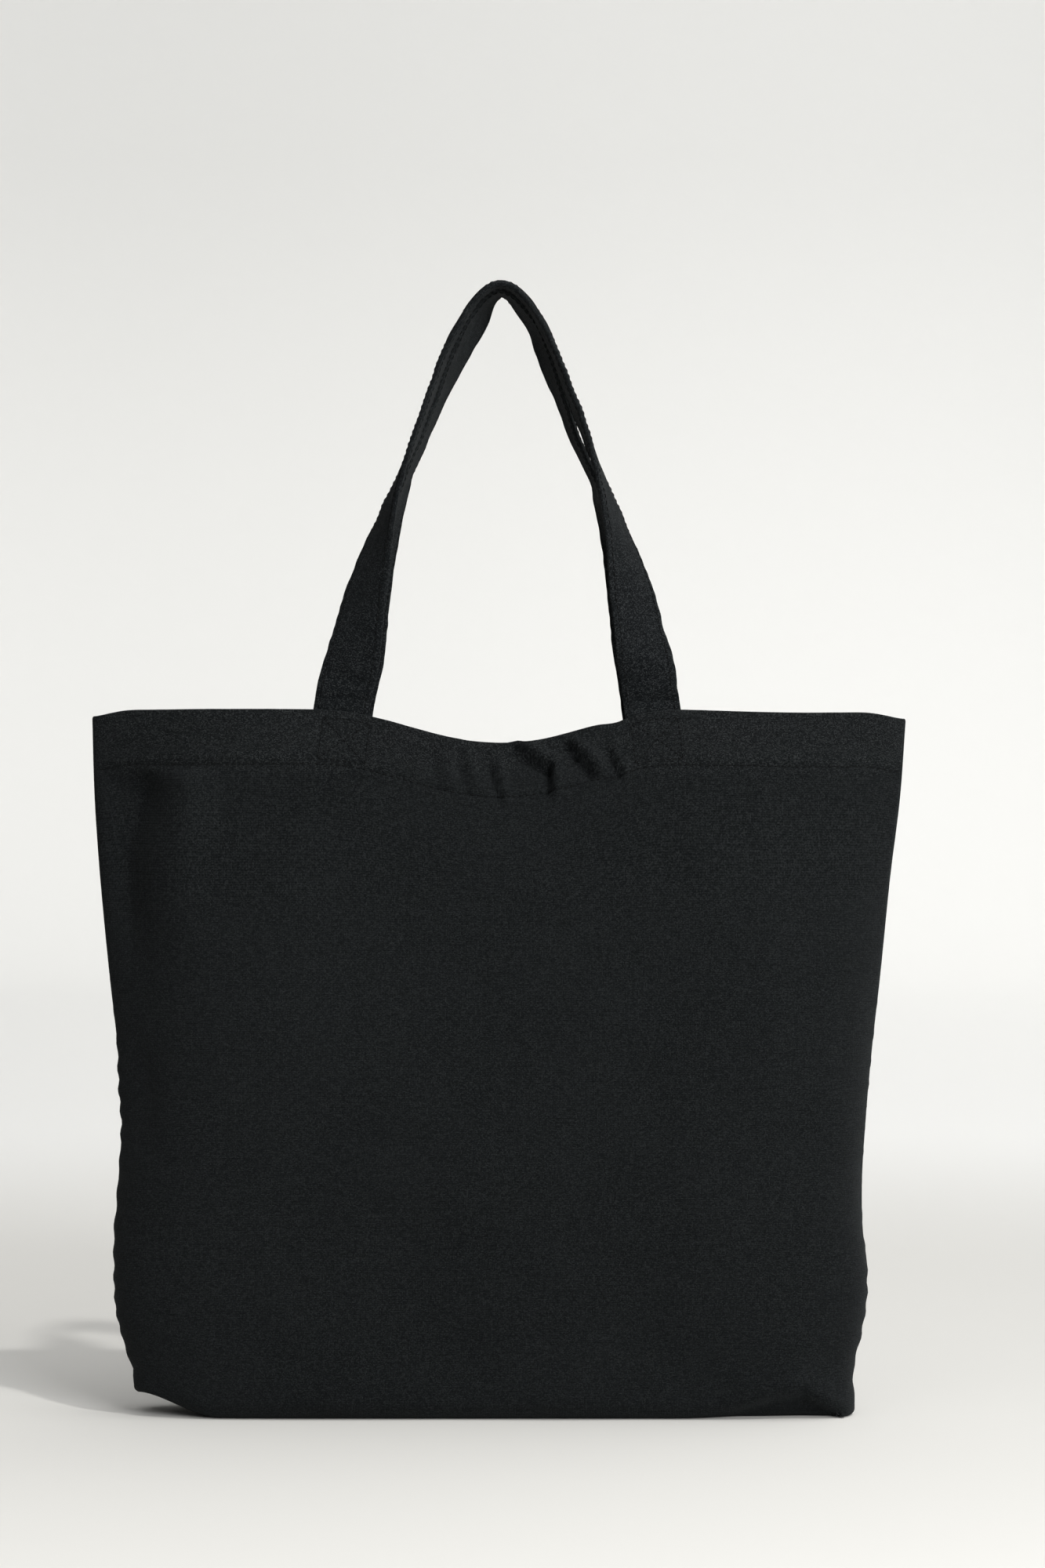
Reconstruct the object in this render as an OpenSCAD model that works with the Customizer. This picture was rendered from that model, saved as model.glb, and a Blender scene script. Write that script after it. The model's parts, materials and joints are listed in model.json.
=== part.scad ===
// Canvas tote bag with a turned hem, boxed bottom corners and two sewn handles.
// Millimetres. +Z is up, the front faces -Y, the origin is the middle of the base on the floor.

/* [Bag body] */
// Height of the rim at the handle ends, above the floor
rim_h = 387; // [330:1:430]
// Half the width between the side seams at the rim
rim_half_w = 224; // [200:1:240]
// Half the depth of the open mouth at the rim
mouth_half_d = 27; // [22:1:34]
// How far the rim sags between the handles
rim_dip = 18; // [4:0.5:24]
// Half the width that the sag spreads over
dip_half_w = 100; // [80:1:110]
// Radius of the roll from the front into the base
base_roll = 14; // [8:1:20]
// Thickness of one layer of canvas with its nap
canvas_t = 1.2; // [1:0.1:1.6]

/* [Hem] */
// Depth of the turned hem
hem_d = 30; // [20:1:40]
// Thickness of the turned hem
hem_t = 2.5; // [2:0.1:3]
// Distance from the lower edge of the hem up to its stitch line
hem_stitch_up = 1.6; // [1:0.1:4]

/* [Handles] */
// Width of the handle strap
strap_w = 30; // [25:1:36]
// Thickness of the folded handle strap
strap_t = 3; // [2:0.1:3.5]
// Distance of each handle end from the middle of the bag
strap_x = 83; // [75:1:100]
// Length of strap sewn inside the hem
strap_end_l = 27; // [20:1:28]
// Gap between the sewn end of a strap and the part that swings
swing_gap = 0.6; // [0.4:0.1:1]

/* [Thread] */
// Thickness of the sewing thread
thread_d = 0.6; // [0.5:0.1:0.8]
// How far the thread stands proud of the cloth
thread_proud = 0.3; // [0.2:0.05:0.4]
// Distance of the edge stitching from the edges of a strap
edge_in = 2.5; // [2:0.1:4]

/* [Seam allowances] */
// Width of the overlocked seam allowances inside
seam_w = 10; // [6:1:14]
// Thickness of a seam allowance
seam_t = 1.6; // [1.2:0.1:2]

/* [Hidden] */

canvas_col = [0.09, 0.095, 0.1];
strap_col = [0.12, 0.125, 0.13];
thread_col = [0.2, 0.2, 0.21];
seam_col = [0.15, 0.155, 0.16];
hinge_z = rim_h + 0.4;
foot_z = hinge_z + swing_gap;                // where the swinging part of a handle begins
apex_z = 619;                                // middle of the strap at the top of the handle

// Half width and half depth of the body, by height. Both follow the same length of cloth around.
half_widths = [[0, 198], [22, 200], [75, 206], [155, 204], [230, 210], [310, 217.5],
    [rim_h, rim_half_w]];
half_depths = [[0, 44], [60, 44], [150, 45.5], [230, 43.5], [310, 37.5], [rim_h, mouth_half_d]];

// Heights of the rows of the panel under the hem, and the steps of the roll and the base
wall_rows = [340, 320, 298, 274, 248, 220, 190, 160, 130, 100, 72, 46, 28];
roll_steps = [0, 18, 36, 54, 72, 90];
base_steps = [0.66, 0.33, 0];
columns = 32;

// 0 below a, 1 above b, smooth between
function ease(a, b, v) = let (f = min(max((v - a) / (b - a), 0), 1)) f * f * (3 - 2 * f);

// The cross-section is a pointed lens at the rim and a rounded rectangle at the base
function crown(z) = 8 - 3 * ease(20, rim_h, z);
function corner(z) = 0.35 + 0.65 * ease(20, rim_h, z);
function across(u, z) = pow(1 - pow(abs(u), crown(z)), corner(z));

function half_w(z) = lookup(z, half_widths);
function half_d(z) = lookup(z, half_depths);
function dip(x) = abs(x) < dip_half_w ? rim_dip * (1 + cos(180 * x / dip_half_w)) / 2 : 0;

// Columns crowd towards the side seams, where the section turns most
function col_u(i) = sin(90 * (2 * i / columns - 1));

// A point of the front cloth: u from -1 to 1 across, z its nominal height, inset from the outside
// in width and depth, y_k scaling the depth, and how much of the rim's sag it takes
side_share = 0.4;                            // share of an inset that narrows the body past the hem
function cloth_pt(u, z, real_z, inset, y_k, sag) =
    let (x = u * (half_w(z) - inset * side_share - (1 - side_share) * min(inset, hem_t)))
    [x, -(half_d(z) - inset) * across(u, z) * y_k, real_z - sag * dip(x)];

// Rows of the outside, from the rim down to the base seam: [z, real z, inset, y_k, sag]
hem_rows = [for (d = [0, 7, 15, 23, hem_d]) [rim_h - d, rim_h - d, 0, 1, 1]];
outer_rows = concat(
    hem_rows,
    [for (z = wall_rows) [z, z, 0, 1, ease(280, rim_h - hem_d, z)]],
    [for (a = roll_steps) [base_roll, base_roll * (1 - sin(a)), base_roll * (1 - cos(a)), 1, 0]],
    [for (k = base_steps) [base_roll, 0, base_roll, k, 0]]);

// The same rows of the inside, one cloth thickness in, or one hem thickness at the hem
inner_r = base_roll - canvas_t;
inner_rows = concat(
    [for (r = hem_rows) [r[0], r[1], hem_t, 1, 1]],
    [[rim_h - hem_d - 0.5, rim_h - hem_d - 0.5, canvas_t, 1, 1]],
    [for (z = wall_rows) [z, z, canvas_t, 1, ease(280, rim_h - hem_d, z)]],
    [for (a = roll_steps) [base_roll, base_roll - inner_r * sin(a), base_roll - inner_r * cos(a), 1, 0]],
    [for (k = base_steps) [base_roll, canvas_t, base_roll, k, 0]]);

function row_points(rows) = [for (r = rows, i = [0:columns])
    cloth_pt(col_u(i), r[0], r[1], r[2], r[3], r[4])];

// Quads between two rows of points that start at a and b
function strip(a, b, n) = [for (i = [0:n - 1]) each [[a + i, a + i + 1, b + i + 1], [a + i, b + i + 1, b + i]]];
function flipped(faces) = [for (f = faces) [f[2], f[1], f[0]]];

module half_bag() {
    n = columns + 1;
    no = len(outer_rows);
    ni = len(inner_rows);
    pts = concat(row_points(outer_rows), row_points(inner_rows));
    ofs = no * n;
    outside = [for (r = [0:no - 2]) each strip(r * n, (r + 1) * n, columns)];
    inside = [for (r = [0:ni - 2]) each strip(ofs + r * n, ofs + (r + 1) * n, columns)];
    rim = strip(ofs, 0, columns);
    base = strip((no - 1) * n, ofs + (ni - 1) * n, columns);
    // Each side edge is closed by one polygon on the middle plane
    left = concat([for (r = [0:no - 1]) r * n], [for (r = [ni - 1:-1:0]) ofs + r * n]);
    right = concat([for (r = [0:ni - 1]) ofs + r * n + columns],
        [for (r = [no - 1:-1:0]) r * n + columns]);
    polyhedron(points = pts, faces = concat(flipped(outside), inside, flipped(rim), flipped(base),
        [reversed(left)], [reversed(right)]), convexity = 6);
}
function reversed(v) = [for (i = [len(v) - 1:-1:0]) v[i]];

// A solid swept through rings of points, closed at both ends
module sweep_rings(rings) {
    k = len(rings[0]);
    n = len(rings);
    polyhedron(points = [for (r = rings) each r], faces = concat(
        [for (j = [0:n - 2], i = [0:k - 1]) let (a = j * k + i, b = j * k + (i + 1) % k)
            each [[a, b, b + k], [a, b + k, a + k]]],
        [[for (i = [k - 1:-1:0]) i]],
        [[for (i = [0:k - 1]) (n - 1) * k + i]]), convexity = 8);
}

// Left half of a handle's middle line: [z, x, y, turn of the strap's face from the front]
handle_route = [[foot_z, -83, -22.5, 0], [400, -82, -22.4, 5], [411, -80.4, -22.2, 13],
    [424, -78, -21.8, 26], [441, -74.8, -20.9, 42], [458, -71.1, -19.8, 53], [475, -66.9, -18.8, 63],
    [491, -62.1, -17.9, 74], [503, -58, -17.4, 81], [514, -54.2, -17.1, 87], [526, -50.2, -17, 90],
    [543, -44.3, -17, 90], [560, -38.6, -17, 90], [577, -32.3, -17, 90], [593, -25.1, -17, 90],
    [603, -19.6, -17, 90], [610, -14.8, -17, 90], [615, -9.9, -17, 90], [618, -5.2, -17, 90],
    [apex_z, 0, -17, 90]];
handle_pts = concat(handle_route,
    [for (i = [len(handle_route) - 2:-1:0]) let (p = handle_route[i]) [p[0], -p[1], p[2], p[3]]]);

function unit(v) = v / norm(v);
function mid_pt(i) = let (p = handle_pts[i]) [p[1], p[2], p[0]];
function along(i) = let (n = len(handle_pts) - 1, d = mid_pt(min(i + 1, n)) - mid_pt(max(i - 1, 0)))
    i == 0 ? [0, 0, 1] : i == n ? [0, 0, -1] : unit([d[0], 0, d[2]]);
// Direction of the strap's width: sideways at the feet, front to back at the top
function width_dir(i) = let (t = along(i), a = handle_pts[i][3])
    cos(a) * [t[2], 0, -t[0]] + [0, -sin(a), 0];

// A ring of the strap, or of a thread in it: offset across the width, and the section's two sizes
function strap_ring(i, at, w, t, bevel) =
    let (c = mid_pt(i), u = width_dir(i), v = cross(along(i), u))
    [for (q = [[-w / 2, -t / 2 + bevel], [-w / 2 + bevel, -t / 2], [w / 2 - bevel, -t / 2],
        [w / 2, -t / 2 + bevel], [w / 2, t / 2 - bevel], [w / 2 - bevel, t / 2],
        [-w / 2 + bevel, t / 2], [-w / 2, t / 2 - bevel]]) c + (at + q[0]) * u + q[1] * v];

module strap_sweep(at, w, t, bevel) {
    sweep_rings([for (i = [0:len(handle_pts) - 1]) strap_ring(i, at, w, t, bevel)]);
}

module handle() {
    color(strap_col) strap_sweep(0, strap_w, strap_t, 0.8);
}

module handle_edge_stitch() {
    at = strap_w / 2 - edge_in;
    color(thread_col) for (s = [-1, 1])
        strap_sweep(s * at, thread_d, strap_t + 2 * thread_proud, 0.15);
}

// The end of a strap inside the hem, flat against its inner face
module strap_end(side) {
    steps = 4;
    top = rim_h;
    color(strap_col) sweep_rings([for (i = [0:steps])
        let (x = strap_x + strap_w * (i / steps - 0.5),
            face = -(mouth_half_d - hem_t) * across(x / (rim_half_w - hem_t), rim_h))
        [[side * x, face, top - strap_end_l], [side * x, face, top],
            [side * x, face + strap_t, top], [side * x, face + strap_t, top - strap_end_l]]]);
}

// A square of stitching with a cross in it, through the hem and the end of a strap
module box_stitch(side) {
    w = strap_w - 2 * edge_in;
    h = strap_end_l - 2 * edge_in;
    mid_z = rim_h - strap_end_l / 2 - 2;
    depth = hem_t + strap_t + 2 * thread_proud;
    tilt = atan2(h, w);
    color(thread_col) translate([side * strap_x, -mouth_half_d - thread_proud, mid_z])
        rotate([-90, 0, 0]) linear_extrude(depth) {
            for (s = [-1, 1]) {
                translate([0, s * h / 2]) square([w, thread_d], center = true);
                translate([s * w / 2, 0]) square([thread_d, h], center = true);
                rotate(s * tilt) square([norm([w, h]), thread_d], center = true);
            }
        }
}

// The line of stitching along the lower edge of the hem, through both layers
module hem_stitch() {
    z = rim_h - hem_d + hem_stitch_up;
    color(thread_col) sweep_rings([for (i = [1:columns - 1]) let (u = col_u(i))
        [for (q = [[-thread_proud, -thread_d / 2], [-thread_proud, thread_d / 2],
            [hem_t + thread_proud, thread_d / 2], [hem_t + thread_proud, -thread_d / 2]])
            cloth_pt(u, z, z + q[1], q[0], 1, 1)]]);
}

// The allowance of a side seam, standing into the bag from the seam
module side_seam(side) {
    rows = [rim_h - hem_d - 2, 340, 310, 270, 230, 190, 150, 110, 75, 45, 25];
    color(seam_col) sweep_rings([for (z = rows) let (x = half_w(z) - canvas_t)
        [[side * x, 0, z], [side * (x - 4), -seam_t / 2, z], [side * (x - seam_w), -seam_t / 2, z],
            [side * (x - seam_w), seam_t / 2, z], [side * (x - 4), seam_t / 2, z]]]);
}

// The allowance of the seam along the middle of the base, pressed to the back
module base_seam() {
    l = 2 * (half_w(0) - 25);
    color(seam_col) translate([-l / 2, 0, canvas_t]) cube([l, seam_w, seam_t]);
}

// The allowance of the short seam across a boxed corner, pressed onto the base
module corner_seam(side) {
    l = 2 * (half_d(0) - base_roll) - 18;
    color(seam_col) translate([side * (half_w(0) - 18) - seam_w / 2, -l / 2, canvas_t])
        cube([seam_w, l, seam_t]);
}

module to_back() mirror([0, 1, 0]) children();

module front_panel() color(canvas_col) half_bag();
module back_panel() color(canvas_col) to_back() half_bag();

front_panel();
back_panel();
side_seam(-1);  // left_side_seam
side_seam(1);  // right_side_seam
base_seam();
corner_seam(-1);  // left_corner_seam
corner_seam(1);  // right_corner_seam
hem_stitch();  // front_hem_stitch
to_back() hem_stitch();  // back_hem_stitch
strap_end(-1);  // front_left_strap_end
strap_end(1);  // front_right_strap_end
to_back() strap_end(-1);  // back_left_strap_end
to_back() strap_end(1);  // back_right_strap_end
box_stitch(-1);  // front_left_box_stitch
box_stitch(1);  // front_right_box_stitch
to_back() box_stitch(-1);  // back_left_box_stitch
to_back() box_stitch(1);  // back_right_box_stitch
handle();  // front_handle
to_back() handle();  // back_handle
handle_edge_stitch();  // front_handle_stitch
to_back() handle_edge_stitch();  // back_handle_stitch
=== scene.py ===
"""Black canvas tote bag standing open: cloth panels with a double-turned hem, boxed corners, two carrying
straps, and every row of stitches. Lengths are in millimetres until the meshes are made."""

import json
import math

import bpy
import numpy as np
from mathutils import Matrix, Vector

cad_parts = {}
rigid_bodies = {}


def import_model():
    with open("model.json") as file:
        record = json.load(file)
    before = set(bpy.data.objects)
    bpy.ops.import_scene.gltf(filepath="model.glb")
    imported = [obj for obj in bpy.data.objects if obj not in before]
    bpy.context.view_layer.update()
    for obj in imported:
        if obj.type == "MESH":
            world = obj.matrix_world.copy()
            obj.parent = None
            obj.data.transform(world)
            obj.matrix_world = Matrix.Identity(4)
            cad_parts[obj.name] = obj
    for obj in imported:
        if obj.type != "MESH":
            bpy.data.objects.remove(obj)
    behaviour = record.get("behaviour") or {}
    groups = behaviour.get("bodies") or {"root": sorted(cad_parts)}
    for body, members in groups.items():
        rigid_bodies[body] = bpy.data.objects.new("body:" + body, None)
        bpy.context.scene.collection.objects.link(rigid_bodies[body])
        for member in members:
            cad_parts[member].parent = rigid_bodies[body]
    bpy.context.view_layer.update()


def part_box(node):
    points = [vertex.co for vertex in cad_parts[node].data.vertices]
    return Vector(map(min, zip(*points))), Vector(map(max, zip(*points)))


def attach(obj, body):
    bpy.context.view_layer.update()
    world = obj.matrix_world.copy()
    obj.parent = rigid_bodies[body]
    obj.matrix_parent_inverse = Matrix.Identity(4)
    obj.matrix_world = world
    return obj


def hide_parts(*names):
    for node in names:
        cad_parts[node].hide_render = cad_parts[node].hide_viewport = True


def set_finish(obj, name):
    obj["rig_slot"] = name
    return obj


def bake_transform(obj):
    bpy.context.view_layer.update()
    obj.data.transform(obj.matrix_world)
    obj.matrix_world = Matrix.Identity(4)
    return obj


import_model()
MM = 0.001

# ---------------------------------------------------------------- sizes, from the frame where it has them
PANEL_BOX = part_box("front_panel")
RIM_H = PANEL_BOX[1][2] / MM                      # height of the rim beside the straps
STRAP_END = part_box("front_right_strap_end")
STRAP_X = (STRAP_END[0][0] + STRAP_END[1][0]) / 2 / MM
STRAP_W = (STRAP_END[1][0] - STRAP_END[0][0]) / MM

CLOTH_T = 0.85                                    # one layer of canvas
HEM_D = 30.0                                      # depth of the turned hem
LAYER = 1.0                                       # from one layer of the hem to the next
HEM_LEAN = 2.2                                    # how far the front rim leans back
DIP, DIP_W = 18.0, 100.0                          # sag of the rim between the straps, and half its width
FLAT_W = 456.0                                    # width of a panel between its side seams
COLUMNS, STEP = 184, 2.5                          # cloth grid: columns across, and row spacing


def ease(a, b, v):
    """A smooth step from 0 at a to 1 at b."""
    f = np.clip((np.asarray(v, float) - a) / (b - a), 0, 1)
    return f * f * (3 - 2 * f)


def bell(v, centre, width):
    """A rounded bump, 1 at its centre."""
    return np.exp(-((np.asarray(v, float) - centre) / width) ** 2)


def between(v, a, b, c, d):
    """0 up to a, rising to 1 at b, then falling from c to 0 at d."""
    return ease(a, b, v) * (1 - ease(c, d, v))


def run_length(points):
    """Distance along a line of points, from its first one."""
    return np.concatenate([[0], np.cumsum(np.linalg.norm(np.diff(points, axis=0), axis=1))])


def resample(at, lengths, points):
    """Points at given distances along a line whose own points lie at the given lengths."""
    return np.stack([np.interp(at, lengths, column) for column in points.T], -1)


def curve(knots, v):
    """A smooth curve through (position, value...) knots, evaluated at v; clamped at both ends."""
    k = np.array(knots, float)
    k = k[np.argsort(k[:, 0])]
    x, y = k[:, 0], k[:, 1:]
    slope = np.gradient(y, x, axis=0)
    v = np.clip(np.asarray(v, float), x[0], x[-1])
    i = np.clip(np.searchsorted(x, v) - 1, 0, len(x) - 2)
    w = x[i + 1] - x[i]
    t = ((v - x[i]) / w)[..., None]
    w = w[..., None]
    out = (y[i] * (2 * t**3 - 3 * t**2 + 1) + slope[i] * w * (t**3 - 2 * t**2 + t)
           + y[i + 1] * (3 * t**2 - 2 * t**3) + slope[i + 1] * w * (t**3 - t**2))
    return out[..., 0] if out.shape[-1] == 1 else out


def ripple(a, b, wavelength, seed, spread=0.45, waves=10):
    """Smooth random undulation of about unit height over the plane (a, b)."""
    rng = np.random.default_rng(seed)
    total = 0.0
    for _ in range(waves):
        angle = rng.uniform(0, math.tau)
        k = math.tau / (wavelength * rng.uniform(1 - spread, 1 + spread))
        total = total + np.sin(k * (a * math.cos(angle) + b * math.sin(angle)) + rng.uniform(0, math.tau))
    return total / math.sqrt(waves / 2)


# ---------------------------------------------------------------- shape of the standing bag
# Half widths at the side seams and half depths, by height
LEFT_W = [(0, 195), (6, 197.5), (14, 201), (30, 205), (50, 208.2), (100, 211), (130, 209.5), (165, 207.5),
          (200, 210), (240, 214.5), (300, 220), (350, 223), (RIM_H, 224)]
RIGHT_W = [(0, 197.8), (6, 197.2), (14, 195.2), (28, 195.6), (44, 199.5), (62, 202), (80, 202.8),
           (100, 200.5), (125, 200), (160, 202), (200, 205.5), (240, 210), (300, 216), (345, 221),
           (RIM_H, 224)]
HALF_D = [(0, 36.8), (18, 39.2), (45, 41.8), (100, 44.2), (160, 45), (230, 43), (310, 37), (350, 32),
          (RIM_H, 26.6)]
ROLL = 13.0                                       # radius of the front's roll into the base
CORNER_ROLL = 3.0                                 # and of the side gussets into the corner seams


def rim_drop(x):
    """How far the rim lies under its height beside the straps."""
    sag = np.where(np.abs(x) < DIP_W, DIP * (1 + np.cos(np.pi * x / DIP_W)) / 2, 0)
    return 1.2 + sag + 1.8 * bell(x, 64, 8) + 1.4 * ease(80, 170, x) + 3.5 * ease(196, 226, np.abs(x)) ** 1.5


def section(z, count=1601):
    """Outline of the front half at one height, as x, y and length along it from the left seam."""
    u = np.sin(np.linspace(-np.pi / 2, np.pi / 2, count))
    f = ease(20, RIM_H, z)
    crown, corner = 8 - 3 * f, 0.35 + 0.65 * f
    x = u * np.where(u < 0, curve(LEFT_W, z), curve(RIGHT_W, z))
    y = -curve(HALF_D, z) * (1 - np.abs(u) ** crown) ** corner
    return x, y, np.concatenate([[0], np.cumsum(np.hypot(np.diff(x), np.diff(y)))])


SHARE = np.linspace(0, 1, COLUMNS + 1)            # share of the panel's width at each column


def outline_rows(heights):
    """Points of the front outline at each height, evenly spaced along the cloth: rows, columns, x and y."""
    rows = []
    for z in heights:
        x, y, s = section(z)
        rows.append(resample(SHARE * s[-1], s, np.stack([x, y], -1)))
    return np.array(rows)


# Creases of the front hem between the straps: start and end as (x, below the rim), half width, height.
# Each steps out towards the viewer on its right-hand side.
HEM_CREASES = [(-4, 8, 3, 31, 1.5, 3.0), (9, 1, 17, 8, 2.4, 3.0), (15, 5, 29, 15, 2.8, 4.8),
               (30, 13, 29.5, 31, 2.4, 4.2), (38, 4, 44, 12, 2.3, 3.8), (43, 10, 54, 25, 2.6, 4.6),
               (61, 12, 68, 29, 1.5, 3.2), (-20, 5, -15, 27, 3.0, 1.6), (-34, 8, -29, 28, 3.6, 1.2)]
BACK_HEM_CREASES = [(-34, 6, -20, 27, 4.0, 1.6), (-8, 8, 4, 28, 3.4, 1.4), (22, 6, 34, 28, 4.0, 1.8),
                    (48, 12, 56, 29, 2.8, 1.2)]


def creases(rows, x, h):
    """Sum of stepped creases, positive towards the outside."""
    total = np.zeros(np.broadcast(x, h).shape)
    for x0, h0, x1, h1, width, height in rows:
        length = math.hypot(x1 - x0, h1 - h0)
        ux, uh = (x1 - x0) / length, (h1 - h0) / length
        along = (x - x0) * ux + (h - h0) * uh
        off = ((x - x0) * uh - (h - h0) * ux) / width
        ends = between(along, -0.25 * length, 0.25 * length, 0.8 * length, 1.2 * length)
        total = total + height * off * np.exp(-off**2 / 2) * 1.65 * ends
    return total


# The box stitches over the strap ends: half sizes, middle below the rim, and slant with the depth.
# In front their middles lie a little to the right of the strap ends.
BOX_HALF_W, BOX_HALF_H, BOX_MID_H, BOX_LEAN = STRAP_W / 2 - 2.2, 11.3, 14.5, 0.11
BOX_SHIFT = {"left": -1.5, "right": 3.5}
ENDS = (("left", -1), ("right", 1))


def box_dents(x, h):
    """Where the front box stitches draw the hem in: 1 on a stitch line, 0 away from it."""
    total = np.zeros(np.broadcast(x, h).shape)
    for end, sign in ENDS:
        mid, lean = sign * STRAP_X + BOX_SHIFT[end], sign * BOX_LEAN
        u = (x - mid - lean * (h - BOX_MID_H)) / BOX_HALF_W
        v = (h - BOX_MID_H) / BOX_HALF_H
        inside = (1 - ease(1.0, 1.15, np.abs(u))) * (1 - ease(1.0, 1.15, np.abs(v)))
        sides = np.maximum(bell(np.abs(u), 1, 0.12), bell(np.abs(v), 1, 0.12))
        cross = np.maximum(bell(u - v, 0, 0.16), bell(u + v, 0, 0.16))
        total = total + inside * np.maximum(sides, cross)
    return total


HEM_STITCH_H = HEM_D - 1.6                        # the hem's stitch line, below the rim
SWELLS = [(1.1, 170), (0.16, 52), (0.04, 14)]     # height and wavelength of the cloth's own undulation
SWELL_SEED = {"front": 11, "back": 47}
HEM_PROUD, STITCH_DRAW = 0.9, 1.2                 # the hem stands out, and its stitches draw the cloth in


def relief(side, x, h, z, share):
    """How far the cloth of one panel stands out from its plain outline."""
    out = 0.0
    for k, (height, wavelength) in enumerate(SWELLS):
        out = out + height * ripple(x, z, wavelength, SWELL_SEED[side] + k)
    # Side seams pucker: short ripples across each seam that die away from it
    edge = np.minimum(share, 1 - share) * FLAT_W                       # distance from the nearer side seam
    pull = np.exp(-edge / 9) * ease(18, 60, h)
    out = out + 0.9 * pull * np.sin(h / 2.3 + 1.7 * np.sin(h / 17) + 2 * share)
    # The hem, its stitch line, and the small puckers along it
    hem = 1 - ease(HEM_D - 0.5, HEM_D + 3.5, h)
    out = out + hem * HEM_PROUD - STITCH_DRAW * bell(h, HEM_STITCH_H, 1.5) + 0.3 * bell(h, HEM_D - 5, 3)
    out = out + 0.16 * bell(h, HEM_D, 9) * np.sin(x / 2.1 + 2 * np.sin(x / 23))
    if side == "front":
        out = out + 1.3 * creases(HEM_CREASES, x, h) - 0.55 * box_dents(x, h)
        # Deeper stretches of the stitch line: right of the right strap, and left of the left one
        out = out - 1.5 * bell(h, HEM_D + 0.5, 1.5) * bell(x, 112, 15)
        out = out - 0.9 * bell(h, HEM_D, 1.8) * ease(95, 135, -x)
        # A small bulge at the left edge with a hollow beside it, and a long shallow hollow on the right
        out = out + 2.6 * bell(x, -207, 6) * bell(z, 176, 26)
        out = out - 2.8 * bell(x, -194, 7) * bell(z, 178, 24)
        out = out - 1.5 * bell(x, 168, 16) * between(h, 60, 130, 190, 290)
    else:
        out = out + creases(BACK_HEM_CREASES, x, h)
        out = out - 3.5 * bell(x, 186, 12) * between(h, 30, 90, 150, 240)
    # Pulls that run down from the straps' ends
    for _, sign in ENDS:
        slant = x - sign * (STRAP_X + 16) - sign * 0.22 * (h - HEM_D)
        out = out + 0.8 * bell(slant, 0, 8) * between(h, HEM_D, HEM_D + 25, 60, 150)
    return out * (1 - ease(0.96, 1.0, 1 - z / RIM_H))                  # none just above the ground


# Below the hem the left side seam stands out as a flat edge with a deep hollow behind it:
# distance from the seam along the bag, and how far the cloth stands out from the bag's middle plane
FLANGE = [(0, 0.6), (3, 3.4), (8, 4.8), (13, 5.2), (16, 6.0), (19, 9.5), (24, 17), (28, 23.5), (34, 30),
          (40, 34), (49, 36.6), (62, 37.6)]


def sculpt(side, grid, h):
    """Larger forms of the cloth that its relief cannot carry."""
    x, y, z = (grid[..., i].copy() for i in range(3))
    if side == "front":
        d = x - x[:, :1]
        w = between(h, HEM_D - 1, HEM_D + 9, 80, 178) * (1 - ease(46, 76, d))
        hollow = 12 * (1 - ease(36, 84, h)) * ease(8, 15, d)           # it is widest just under the hem
        y = y * (1 - w) - curve(FLANGE, d - hollow) * w
        # The hem leans back, most where the rim sags
        lean = HEM_LEAN * ease(4, 40, d) * ease(4, 40, d[:, -1:] - d)
        y = y + (lean + 4.6 * bell(x, 5, 62)) * (1 - ease(0, HEM_D + 2, h))
        # The right end of the bottom fold is pulled out to a point, with a hollow under its ridge
        ridge = np.interp(x, [95, 128, 150, 166, 192, 200], [4, 9, 17, 18, 1.5, 0])
        y = y + 9 * ease(0, 9, ridge - z) * between(x, 95, 135, 183, 192)
        y = y - 3.2 * bell(z, ridge + 3.5, 6) * ease(120, 165, x) * (1 - ease(0, 60, z))
        y = y + 2.6 * bell(x, 180, 12) * bell(z, 33, 13)
    return np.stack([x, y, z], -1)


def settle(points):
    """The left end of the base curls up off the ground, more at the front than at the back."""
    points = np.array(points, float)
    x, y, z = (points[..., i] for i in range(3))
    up = 14.5 * (0.5 + 0.5 * ease(-40, 40, -y)) * ease(150, 197, -x) ** 1.2 * (1 - ease(8, 70, z))
    points[..., 2] += up
    return points


def normals_of(grid):
    """Unit normals of a rows x columns grid of points; they point out of the front panel."""
    n = np.cross(np.gradient(grid, axis=0), np.gradient(grid, axis=1))
    return n / np.maximum(np.linalg.norm(n, axis=-1, keepdims=True), 1e-9)


# ---------------------------------------------------------------- mesh helpers
def new_object(name, points, faces, uvs=None):
    """A mesh object from points in millimetres; uvs are in millimetres along the cloth, one per point."""
    mesh = bpy.data.meshes.new(name)
    mesh.from_pydata((np.asarray(points, float) * MM).tolist(), [], [tuple(f) for f in faces])
    if uvs is not None:
        layer = mesh.uv_layers.new(name="cloth")
        corner = np.empty(len(mesh.loops), int)
        mesh.loops.foreach_get("vertex_index", corner)
        layer.data.foreach_set("uv", np.asarray(uvs, np.float32)[corner].ravel())
    mesh.polygons.foreach_set("use_smooth", [True] * len(mesh.polygons))
    mesh.update()
    obj = bpy.data.objects.new(name, mesh)
    bpy.context.collection.objects.link(obj)
    return obj


def grid_faces(rows, cols, start=0, wrap=False):
    """Quads of a rows x cols grid of points numbered from start, row by row."""
    r, c = np.meshgrid(np.arange(rows - 1), np.arange(cols if wrap else cols - 1), indexing="ij")
    nxt = (c + 1) % cols
    a, b = start + r * cols + c, start + r * cols + nxt
    return np.stack([a, b, b + cols, a + cols], -1).reshape(-1, 4).tolist()


def grid_uvs(across, down):
    """Cloth coordinates of a grid of points, row by row."""
    return np.stack(np.broadcast_arrays(across[None, :], down[:, None]), -1).reshape(-1, 2)


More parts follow.
